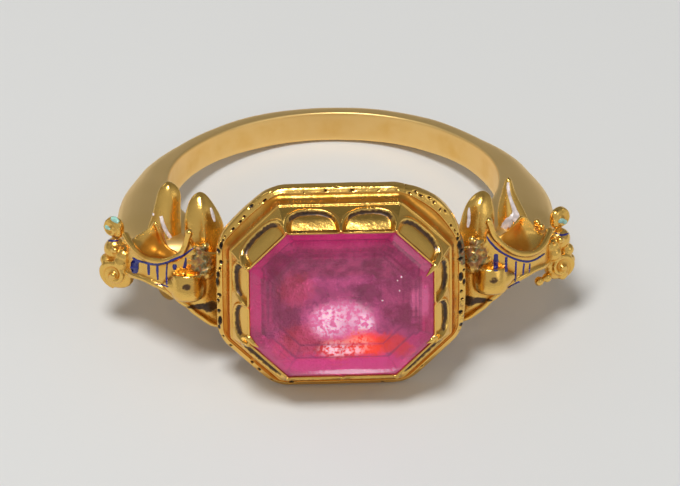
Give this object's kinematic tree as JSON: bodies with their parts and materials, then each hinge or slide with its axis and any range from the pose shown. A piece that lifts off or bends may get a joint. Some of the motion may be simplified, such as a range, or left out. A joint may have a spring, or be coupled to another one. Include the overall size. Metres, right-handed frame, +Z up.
{
  "type": "tourmaline ring",
  "caption": "Gold finger ring with a cusped octagonal bezel holding a pink step-cut stone over foil, and scrolled enamelled shoulders on a plain hoop.",
  "frame": {"origin": "middle of the ring's box, on the surface that the ring lies on", "axes": "+X across the ring from shoulder to shoulder, +Z up from the surface, -Y towards the bezel's front"},
  "size_m": [0.0242, 0.0228, 0.0108],
  "materials": {
    "gold": "worn cast gold",
    "tourmaline": "polished",
    "foil": "bright",
    "enamel": "opaque gloss enamel"
  },
  "bodies": {
    "root": {"gold_ring": "gold", "stone": "tourmaline", "foil": "foil", "blue_enamel_right": "enamel", "blue_enamel_left": "enamel"}
  },
  "joints": []
}
